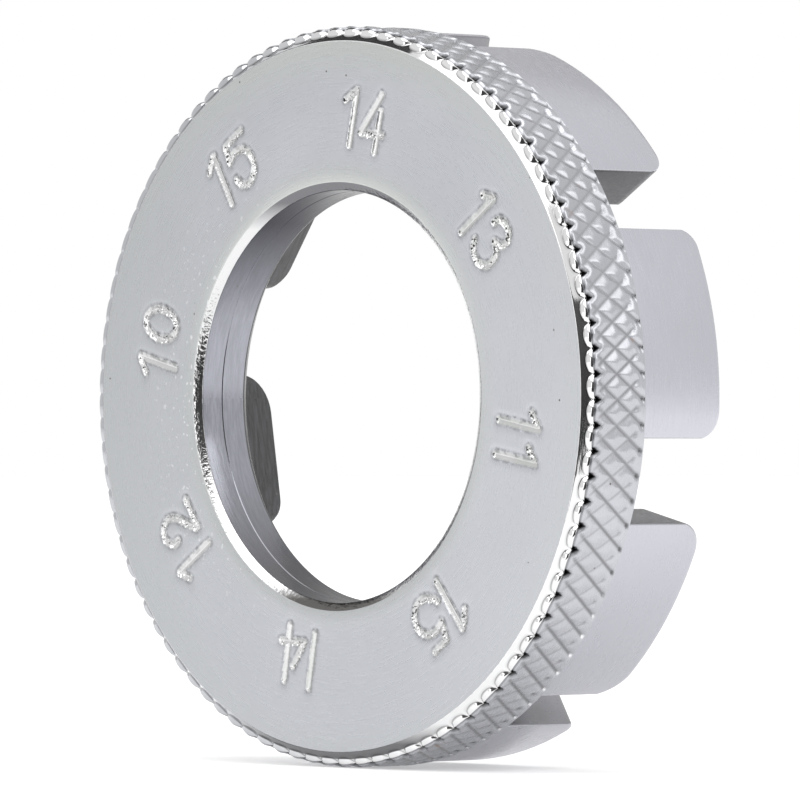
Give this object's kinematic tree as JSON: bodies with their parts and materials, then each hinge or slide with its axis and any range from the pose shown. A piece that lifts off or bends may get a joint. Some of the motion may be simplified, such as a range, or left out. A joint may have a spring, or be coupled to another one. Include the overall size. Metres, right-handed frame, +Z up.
{
  "type": "spoke wrench",
  "caption": "Round wrench for spoke nipples: a bored ring with a numbered face and a knurled rim, and jaws behind it that leave slots of graded widths, chrome plated.",
  "frame": {"origin": "on the axis of the bore, at the numbered face", "axes": "+Y along the bore from the numbered face towards the ends of the jaws, +Z up with the wrench standing on its rim, +X to the right seen at the numbered face"},
  "size_m": [0.0464, 0.0113, 0.0464],
  "materials": {
    "chrome_plate": "chrome plate over turned steel: satin on the flat face and jaws, bright on the bevel, chamfers and knurl"
  },
  "bodies": {
    "root": {"numbered_ring": "chrome_plate", "knurled_rim": "chrome_plate", "jaw_1": "chrome_plate", "jaw_2": "chrome_plate", "jaw_3": "chrome_plate", "jaw_4": "chrome_plate", "jaw_5": "chrome_plate", "jaw_6": "chrome_plate", "jaw_7": "chrome_plate", "jaw_8": "chrome_plate"}
  },
  "joints": []
}
